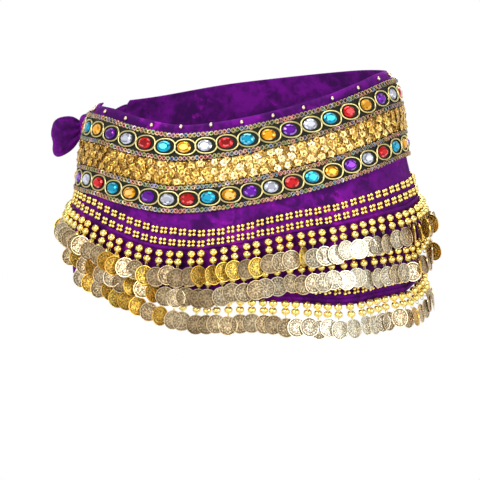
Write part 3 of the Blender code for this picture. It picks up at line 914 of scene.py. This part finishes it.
# %% The braid over the sequins
def threads(name, lines, radius, finish, tint=0.5):
    """Round threads through lists of points. Curves make the tubes, which then become a mesh."""
    curve = bpy.data.curves.new(name + "_line", "CURVE")
    curve.dimensions = "3D"
    curve.bevel_depth = radius
    curve.bevel_resolution = 1
    curve.use_fill_caps = True
    for points in lines:
        line = curve.splines.new("POLY")
        line.points.add(len(points) - 1)
        line.points.foreach_set("co", [c for point in points for c in (*point, 1.0)])
    carrier = bpy.data.objects.new(name + "_line", curve)
    bpy.context.scene.collection.objects.link(carrier)
    made = bpy.data.meshes.new_from_object(carrier.evaluated_get(bpy.context.evaluated_depsgraph_get()))
    bpy.data.objects.remove(carrier)
    bpy.data.curves.remove(curve)
    bm = bmesh.new()
    bm.from_mesh(made)
    bmesh.ops.remove_doubles(bm, verts=bm.verts, dist=1e-6)
    bmesh.ops.recalc_face_normals(bm, faces=bm.faces)
    bpy.data.meshes.remove(made)
    piece = as_piece(bm, name, finish)
    layer = piece.data.attributes.new("tint", "FLOAT", "POINT")
    layer.data.foreach_set("value", [tint] * len(piece.data.vertices))
    return piece


def braid_line(depth, side):
    start, end = PANEL_START + 0.7, PANEL_END - 0.7
    waves = round(ring_length(depth, start, end) / (SEQUIN_PITCH * 2))
    points = []
    for i, angle in enumerate(even_angles(depth, start, end, waves * 6)):
        turn = i / 6 * math.tau
        rise = 0.0015 + side * 0.0004 * math.cos(turn)
        points.append(cloth(angle, depth + side * 0.0021 * math.sin(turn), RIBBON_FACE + rise))
    return points


for number, depth in enumerate(STRIP_DEPTHS, 1):
    lines = [braid_line(depth, side) for side in (-1, 1)]
    threads(f"strip_braid_{number}", lines, 0.00030, gold_thread, 0.7)

# %% [markdown]
# ## The gold band
# The band between the ribbons is covered with star sequins that overlap, with small beads among
# them. A lower layer of darker stars fills the band, and paler stars lie on it along slanting
# lines, so that it reads as a lattice, as on the real one. Each star turns and tips its own way.
# Stars and beads are painted lighter at the front, where the light falls, and darker round the
# sides: a painted light.

# %% Make the gold stars
def star_shape(outer, inner, points=5):
    bm = bmesh.new()
    bmesh.ops.create_circle(bm, segments=points * 2, radius=outer)
    for vert in list(bm.verts)[::2]:
        vert.co *= inner / outer
    rim = bm.edges[:]
    moved = bmesh.ops.extrude_edge_only(bm, edges=rim)["geom"]
    for item in moved:
        if isinstance(item, bmesh.types.BMVert):
            item.co = item.co.normalized() * 0.0005
            item.co.z = -0.0006
    bmesh.ops.recalc_face_normals(bm, faces=bm.faces)
    bmesh.ops.solidify(bm, geom=bm.faces[:], thickness=0.0002)
    return bm


BAND_LIT_AT = 14


def star_places(rows, pitch, first, step, out, spread, tints, seed):
    """Rows of places, each row half a pitch on from the last, so that the lines slant."""
    chance = random.Random(seed)
    places, tones_and_painted_light = [], []
    for row in range(rows):
        depth = BAND_TOP + first + row * step
        start, end = PANEL_START + 1.0, PANEL_END - 1.0
        count = round(ring_length(depth, start, end) / pitch)
        angles = even_angles(depth, start, end, count * 2)
        for angle in angles[1 + row % 2 :: 2]:
            aside = chance.uniform(-spread, spread)
            along = math.degrees(chance.uniform(-spread, spread) / HIP_RADIUS)
            spin = chance.uniform(0, math.tau)
            tip = chance.uniform(-0.32, 0.32)
            lean = chance.uniform(-0.32, 0.32)
            off = out + chance.uniform(0, 0.0006)
            places.append(on_cloth(angle + along * 1.5, depth + aside, off, spin, tip, lean))
            # Painted light: copies near BAND_LIT_AT are lighter and those round the sides darker.
            lit = math.exp(-(((angle - BAND_LIT_AT) / 34) ** 2))
            tones_and_painted_light.append(chance.uniform(*tints) * (0.42 + 0.58 * lit))
    return places, tones_and_painted_light


LOW_STARS = dict(
    rows=4, pitch=0.0066, first=0.0028, step=0.0056,
    out=RIBBON_FACE + 0.0005, spread=0.0006, tints=(0.0, 0.65), seed=31,
)
HIGH_STARS = dict(
    rows=3, pitch=0.0104, first=0.0042, step=0.0070,
    out=RIBBON_FACE + 0.0016, spread=0.0011, tints=(0.5, 1.0), seed=32,
)
places, tones_and_painted_light = star_places(**LOW_STARS)
repeated(star_shape(0.0038, 0.0025), places, "gold_stars_low", star_sequin, tones_and_painted_light)
places, tones_and_painted_light = star_places(**HIGH_STARS)
repeated(star_shape(0.0047, 0.0030), places, "gold_stars_high", star_sequin, tones_and_painted_light)
SEED_BEADS = dict(
    rows=4, pitch=0.0096, first=0.0008, step=0.0070,
    out=RIBBON_FACE + 0.0017, spread=0.0008, tints=(0.2, 0.9), seed=33,
)
places, tones_and_painted_light = star_places(**SEED_BEADS)
repeated(bead_shape(0.0009, 6, 4), places, "band_seed_beads", gold_bead, tones_and_painted_light)

# %% [markdown]
# ## Rows of small beads
# Under the trims, small gold beads are sewn on in clusters of four, in rows that follow the
# coins. A few single beads stand along the top edge. The bead is a sphere with few faces, and
# smooth shading hides them at this size.

# %% Make the small bead rows
SMALL_BEAD = 0.0020
CLUSTER_PITCH = 0.0093
CLUSTER_HALF = (0.00182, 0.00182)
ClusterDepth = namedtuple("ClusterDepth", "away depth")
CLUSTER_DEPTHS = tuple(
    ClusterDepth(*point)
    for point in (
        (0, 0.1095), (20, 0.1065), (35, 0.1045), (50, 0.1015), (65, 0.1035), (76, 0.1045), (86, 0.1015), (97, 0.0995),
        (110, 0.0950), (125, 0.0905), (145, 0.0870), (172, 0.0868),
    )
)


def cluster_depth(angle):
    return read_table(CLUSTER_DEPTHS, "depth", abs(angle - DEEPEST_AT))


def make_clusters(name, depth_at, start, end, seed):
    """Four beads in a square, again and again along a line that depth_at gives."""
    chance = random.Random(seed)
    count = round(ring_length(0.105, start, end) / CLUSTER_PITCH)
    places, tints = [], []
    for angle in even_angles(0.105, start, end, count):
        middle = depth_at(angle) + chance.uniform(-0.0004, 0.0004)
        for across in (-1, 1):
            for down in (-1, 1):
                turn = math.degrees(across * CLUSTER_HALF[0] / HIP_RADIUS)
                place = on_cloth(angle + turn, middle + down * CLUSTER_HALF[1], SMALL_BEAD * 0.8)
                places.append(place @ Matrix.Rotation(chance.uniform(-0.4, 0.4), 4, "Z"))
                tints.append(chance.uniform(0.3, 1.0))
    return repeated(bead_shape(SMALL_BEAD, 8, 5), places, name, gold_bead, tints)


def second_cluster_depth(angle):
    return min(cluster_depth(angle) + 0.0106, row_depth("upper", angle) - 0.0055)


make_clusters("bead_row_a", cluster_depth, PANEL_START + 3, PANEL_END - 3, 41)
make_clusters("bead_row_b", second_cluster_depth, PANEL_START + 3, PANEL_END - 3, 42)
make_clusters("bead_row_c", lambda angle: row_depth("lower", angle) - 0.0105, 5, 150, 43)

places = []
for angle in even_angles(0.0, PANEL_START + 4, PANEL_END - 4, 24):
    above_trim = 0.0035 + 0.0033 * math.exp(-(((angle + 18) / 12) ** 2))
    places.append(on_cloth(angle, TOP_MARGIN - above_trim, 0.0014))
repeated(bead_shape(0.0017, 8, 6, 1.3), places, "top_edge_beads", pale_bead, [0.6] * len(places))

# %% [markdown]
# ## Strands of beads and coins
# Three rows of short strands hang from narrow tapes. A strand is two gold beads and a coin that
# hangs in a small ring. The coins lie over each other like shingles, and each hangs a little
# differently: that is what makes them glitter, so every turn and drop has its own small error,
# from a generator that starts with the same number each time. Up to a quarter of them are
# turned far and are painted orange gold, a painted reflection. Those at the front of the
# wearer's left are painted nearly white, a painted highlight where the light falls, and none
# of them is turned.

# %% Make the beads, rings and coins
BEAD_RADIUS = 0.0042
BEAD_DROPS = ((0.0040, 0.0048), (0.0113, 0.0068))
COIN_RADIUS = 0.0095
COIN_DROP = 0.0250
COIN_OUT = 0.0128
COIN_LEAN = 9.0
LINK_DROP = 0.0156
TURNED_COINS = 0.24
COINS_LIT_AT = 36


def coin_turn(angle):
    """How far the coins are turned, in degrees: most at the wearer's right, where they swing forwards."""
    return 5 + 31 * math.exp(-(((angle + 95) / 48) ** 2))


def coin_shape():
    """A round coin with a raised rim on its front face, and a UV map of its face."""
    bm = bmesh.new()
    bmesh.ops.create_circle(bm, cap_ends=True, segments=16, radius=COIN_RADIUS)
    face = bm.faces[:]
    back = bmesh.ops.duplicate(bm, geom=face)["geom"]
    back_faces = [item for item in back if isinstance(item, bmesh.types.BMFace)]
    bmesh.ops.reverse_faces(bm, faces=back_faces)
    top = bmesh.ops.extrude_discrete_faces(bm, faces=face)["faces"]
    bmesh.ops.translate(bm, vec=(0, 0, 0.0009), verts=top[0].verts)
    for thickness, depth in ((0.0009, 0.0), (0.0004, -0.0003)):
        bmesh.ops.inset_region(bm, faces=top, thickness=thickness, depth=depth, use_even_offset=True)
    bmesh.ops.remove_doubles(bm, verts=bm.verts, dist=1e-6)
    bmesh.ops.recalc_face_normals(bm, faces=bm.faces)
    uv = bm.loops.layers.uv.new("coin")
    for face in bm.faces:
        for corner in face.loops:
            corner[uv].uv = (0.5 + corner.vert.co.x / COIN_RADIUS / 2, 0.5 + corner.vert.co.y / COIN_RADIUS / 2)
    return bm


def row_angles(row, steps_each=1):
    """The places along a row, from one strand to the next or closer."""
    start, end = DEEPEST_AT - ROW_REACH[row], DEEPEST_AT + ROW_REACH[row]
    strands = round(ring_length(0.125, start, end) / STRAND_PITCH)
    return even_angles(0.125, start, end, strands * steps_each)


def make_strands(row, seed):
    chance = random.Random(seed)
    angles = row_angles(row)
    beads, links, coins, coin_tones_and_painted_light, bead_tints = [], [], [], [], []
    for first, last in zip(angles, angles[1:]):
        angle = (first + last) / 2
        top = frame_at(angle, row_depth(row, angle), level=True)
        swing = chance.uniform(-0.0016, 0.0016)
        lift = ROW_LIFT[row]
        for number, (drop, out) in enumerate(BEAD_DROPS, 1):
            off = chance.uniform(-0.0003, 0.0003) + swing * number * 0.4
            beads.append(hanging(top, drop, out + lift * number / 5, off))
            bead_tints.append(chance.uniform(0.5, 1.0))
        link = hanging(top, LINK_DROP, 0.0088 + lift * 0.5, swing)
        links.append(link @ Matrix.Rotation(math.radians(80), 4, "Y"))
        low = chance.uniform(-0.0020, 0.0016)
        lit = math.exp(-(((angle - COINS_LIT_AT) / 20) ** 2))
        turned = chance.random() < TURNED_COINS * (1 - lit)
        turn = coin_turn(angle) + chance.gauss(0, 11 - 4 * lit) + (chance.uniform(24, 58) if turned else 0)
        lean = COIN_LEAN + chance.uniform(-8, 8)
        close = 0.0035 * math.exp(-(((angle + 95) / 25) ** 2))
        place = hanging(top, COIN_DROP + low, COIN_OUT + lift * 0.8 - close, swing)
        place = place @ Matrix.Rotation(math.radians(turn), 4, "Y")
        place = place @ Matrix.Rotation(math.radians(-lean), 4, "X")
        coins.append(place @ Matrix.Rotation(chance.uniform(0, math.tau), 4, "Z"))
        # Painted light: turned coins get orange-gold tints, a painted reflection, and lit coins get the near-white
        # tint, a painted highlight.
        if turned:
            coin_tones_and_painted_light.append(chance.uniform(0.86, 1.0))
        else:
            coin_tones_and_painted_light.append(chance.uniform(0.0, 0.50) * (1 - lit) + 0.75 * lit)
    repeated(coin_shape(), coins, f"coins_{row}", stamped_coin, coin_tones_and_painted_light, [f"coin_row_{row}"], 25)
    bead = bead_shape(BEAD_RADIUS, 10, 7, 0.88)
    repeated(bead, beads, f"strand_beads_{row}", gold_bead, bead_tints)
    ring = ring_shape(0.0017, 0.0017, 0.0004, 8, 4)
    repeated(ring, links, f"coin_rings_{row}", loop_wire, [0.6] * len(links))


for number, row in enumerate(("upper", "middle", "lower")):
    make_strands(row, 51 + number)


# %% The tapes that the strands hang from
def make_tape(row):
    angles = row_angles(row, 4)
    columns = len(angles) - 1

    def point(across, down):
        angle = angles[round(across * columns)]
        return cloth(angle, row_depth(row, angle) - 0.003 * (1 - down), 0.0016)

    bm = placed_grid(columns, 2, point, (ring_length(0.125, angles[0], angles[-1]), 0.003))
    return give_wall(as_piece(bm, f"strand_tape_{row}", velvet), 0.0010)


for row in ("upper", "middle", "lower"):
    make_tape(row)

# %% [markdown]
# ## The ties and the bow
# At the wearer's right the two ends of the scarf are gathered into a knot, and the bow's loops
# and tails leave it. The gathers start at the knot and die out along the cloth, so each sheet
# gets folds whose height falls with the distance from the knot.

# %% Make the ties
TIE_TOP = 0.004
TIE_HEIGHT = 0.044
KNOT_DEPTH = 0.028
KNOT_OUT = 0.014
KNOT_SIZE = (0.026, 0.022, 0.030)
KNOT_ROUNDING = 0.008
TIE_LEAD = 0.009
TIE_END_HEIGHT = 0.016

knot_point, knot_round, knot_level = frame_at(KNOT_AT, KNOT_DEPTH, level=True)
knot_middle = knot_point + knot_level * KNOT_OUT


def make_tie(name, panel_edge, side, node):
    edge = panel_edge - side * 0.3
    half_knot = KNOT_SIZE[0] / 2 + 0.0014

    def point(along, down):
        start, onwards, outward = frame_at(edge, TIE_TOP + TIE_HEIGHT * down)
        sewn = start - outward * VELVET_WALL / 2
        lead = sewn - onwards * side * TIE_LEAD
        gathered = knot_middle + knot_round * side * half_knot
        gathered.z += TIE_END_HEIGHT * (0.5 - down)
        gathered += knot_level * 0.0010 * math.cos(2 * math.tau * down)
        place = sewn.lerp(lead, along).lerp(lead.lerp(gathered, along), along)
        gather = math.sin(5 * math.tau * down + 0.6 * math.sin(9 * down)) * 0.0008 * math.sin(math.pi * min(along * 1.1, 1.0))
        return place + knot_level * gather

    piece = as_piece(placed_grid(16, 40, point, (0.05, TIE_HEIGHT)), name, velvet, [node])
    area = cloth_area(piece)
    give_wall(piece, 0.0014, 1)
    return piece, area


tie_front_cloth, tie_front_area = make_tie("tie_front_cloth", PANEL_START, 1, "tie_front")
tie_back_cloth, tie_back_area = make_tie("tie_back_cloth", PANEL_END - 360.0, -1, "tie_back")
print("ties:", round(tie_front_area, 5), round(tie_back_area, 5), "m2")


# %% Make the knot
def make_knot():
    bm = bmesh.new()
    bmesh.ops.create_cube(bm, size=1.0)
    bmesh.ops.scale(bm, vec=KNOT_SIZE, verts=bm.verts)
    bmesh.ops.bevel(bm, geom=bm.edges[:], offset=KNOT_ROUNDING, segments=4, profile=0.5, affect="EDGES", material=-1)
    bmesh.ops.subdivide_edges(bm, edges=bm.edges[:], cuts=2, use_grid_fill=True, smooth=0.2)
    bm.normal_update()
    for vert in bm.verts:
        wrap = math.sin(vert.co.x * 900 + 2.2 * math.sin(vert.co.z * 140)) * 0.0006
        slant = math.exp(-(((vert.co.x + vert.co.z * 0.35) / 0.0022) ** 2)) * -0.0014
        vert.co += vert.normal * (wrap + slant - 0.0003)
    turn = Matrix((knot_round, knot_level, Vector((0, 0, 1)))).transposed().to_4x4()
    bmesh.ops.transform(bm, matrix=Matrix.Translation(knot_middle) @ turn, verts=bm.verts)
    bmesh.ops.recalc_face_normals(bm, faces=bm.faces)
    return as_piece(bm, "knot_cloth", velvet, ["knot"])


knot_cloth = make_knot()

# %% [markdown]
# ## Bow loops
# A bow loop is a strip that leaves the knot, turns back and returns. Seen from above it is a
# teardrop, and its height swells in the middle. The folds that run from the knot are strongest
# at both ends of the strip.

# %% Make the bow loops
LoopSection = namedtuple("LoopSection", "turn half_height sink")
BOW_LOOP = (
    LoopSection(40, 0.0090, 0.0015),
    LoopSection(80, 0.0172, 0.0050),
    LoopSection(130, 0.0198, 0.0088),
    LoopSection(180, 0.0162, 0.0100),
    LoopSection(230, 0.0198, 0.0088),
    LoopSection(280, 0.0172, 0.0050),
    LoopSection(320, 0.0090, 0.0015),
)
BOW_OPENING = math.radians(42)
LOOP_CROWN = 0.18
LOOP_TUCKED_IN = 0.0007
LOOP_GATHERS = 3.5
LOOP_GATHER_DEPTH = 0.0016


def make_bow_loop(name, node, turn_from_outward, length, breadth):
    turn = math.radians(turn_from_outward)
    ahead = knot_level * math.cos(turn) + knot_round * math.sin(turn)
    aside = knot_round * math.cos(turn) - knot_level * math.sin(turn)
    side, front = abs(math.sin(turn)), math.cos(turn)
    half_knot = (KNOT_SIZE[0] * side + KNOT_SIZE[1] * front) / 2 - KNOT_ROUNDING * (side + front - 1)
    start = half_knot - LOOP_TUCKED_IN - (1 - math.cos(BOW_OPENING)) / 2 * length

    def point(along, down):
        angle = BOW_OPENING + (math.tau - 2 * BOW_OPENING) * along
        degrees = math.degrees(angle)
        half_height = read_table(BOW_LOOP, "half_height", degrees)
        sink = read_table(BOW_LOOP, "sink", degrees)
        up = 1 - 2 * down
        crown = 1 - LOOP_CROWN * up * up
        reach = start + length * (1 - math.cos(angle)) / 2 * (0.5 + 0.5 * crown)
        from_knot = min(along, 1 - along)
        gather = LOOP_GATHER_DEPTH * math.exp(-((from_knot / 0.22) ** 2)) * math.cos(LOOP_GATHERS * math.pi * up + 0.5)
        dent = -0.0022 * math.exp(-(((along - 0.5) / 0.10) ** 2) - ((up + 0.25) / 0.35) ** 2)
        width = breadth * math.sin(angle) * math.sin(angle / 2) * crown + gather * math.copysign(1, math.sin(angle))
        place = knot_middle + ahead * (reach + dent) - aside * width
        place.z += half_height * up - sink
        return place

    piece = as_piece(placed_grid(56, 20, point, (length * 2.2, 0.04)), name, velvet, [node])
    area = cloth_area(piece)
    give_wall(piece, 0.0013, 1)
    return piece, area


bow_front, bow_front_area = make_bow_loop("bow_front_cloth", "bow_loop_front", 36, 0.033, 0.0165)
bow_back, bow_back_area = make_bow_loop("bow_back_cloth", "bow_loop_back", -52, 0.042, 0.015)
print("bow loops:", round(bow_front_area, 5), round(bow_back_area, 5), "m2")


# %% Make the tails
def make_tail(name, node, aside, out, length, lean):
    top_depth = KNOT_DEPTH + KNOT_SIZE[2] / 2 + 0.0003
    gather_share = 0.030 / length
    top_out = KNOT_OUT + math.copysign(0.003, -aside)

    def point(across, down):
        width = float(np.interp(down, (0.0, gather_share), (0.014, 0.030)))
        stand = float(np.interp(down, (0.0, gather_share), (top_out, out)))
        off = (across - 0.5) * width + aside * min(down / gather_share, 1.0)
        angle = KNOT_AT + math.degrees((off + lean * down) / 0.130)
        shorter = 0.014 * down * (1 - 2 * abs(across - 0.5))
        start, _, level = frame_at(angle, top_depth + length * down - shorter, level=True)
        ripple = 0.0010 * math.sin(across * 2.5 * math.tau + 0.8) * math.exp(-down * 2.2)
        return start + level * (stand + ripple)

    piece = as_piece(placed_grid(20, 60, point, (0.030, length)), name, velvet, [node])
    area = cloth_area(piece)
    give_wall(piece, 0.0013)
    return piece, area


tail_front_cloth, tail_front_area = make_tail("tail_front_cloth", "tail_front", 0.0045, 0.005, 0.118, 0.002)
tail_back_cloth, tail_back_area = make_tail("tail_back_cloth", "tail_back", -0.0045, 0.011, 0.132, -0.002)
print("tails:", round(tail_front_area, 5), round(tail_back_area, 5), "m2")

# %% [markdown]
# ## The cut of the cloth
# The size that each sheet was cut to is printed here. The panel is a strip as long as the scarf
# is round, and as wide as its deepest place; the cut is curved, so its area is smaller. Each
# bow loop is a strip that turns back on itself, so its flat length is the way round the loop.

def declare(piece, width, length, area=None):
    if area is not None:
        area = min(max(area, 0.31 * width * length), width * length)
    print(piece.name, round(width, 3), "x", round(length, 3), "m")


declare(velvet_scarf, deepest, ring_length(0.125), panel_area)
declare(ribbon_upper, TRIM, upper_length)
declare(ribbon_lower, TRIM, lower_length)
declare(gold_ground, GOLD_BAND, gold_length)
declare(tie_front_cloth, TIE_HEIGHT, tie_front_area / TIE_HEIGHT * 1.25)
declare(tie_back_cloth, TIE_HEIGHT, tie_back_area / TIE_HEIGHT * 1.25)
declare(bow_front, 0.040, bow_front_area / 0.040 * 1.15)
declare(bow_back, 0.040, bow_back_area / 0.040 * 1.15)
declare(tail_front_cloth, 0.030, 0.118)
declare(tail_back_cloth, 0.030, 0.132)

# %% [markdown]
# ## The studio floor
# A plain pale floor lies at the height where a wearer's feet would be. It isn't part of the
# scarf.

# %% Make the floor
bm = bmesh.new()
bmesh.ops.create_circle(bm, cap_ends=True, segments=64, radius=FLOOR_RADIUS)
bmesh.ops.translate(bm, vec=(0, 0, FLOOR_HEIGHT), verts=bm.verts)
floor_mesh = bpy.data.meshes.new("floor")
bm.to_mesh(floor_mesh)
bm.free()
floor_paint = Finish("floor_paint", roughness=0.8, base_color=(0.82, 0.82, 0.83, 1))
floor_mesh.materials.append(floor_paint.material)
floor = bpy.data.objects.new("floor", floor_mesh)
bpy.context.scene.collection.objects.link(floor)
print("floor:", 2 * FLOOR_RADIUS, "m across, at", FLOOR_HEIGHT, "m")
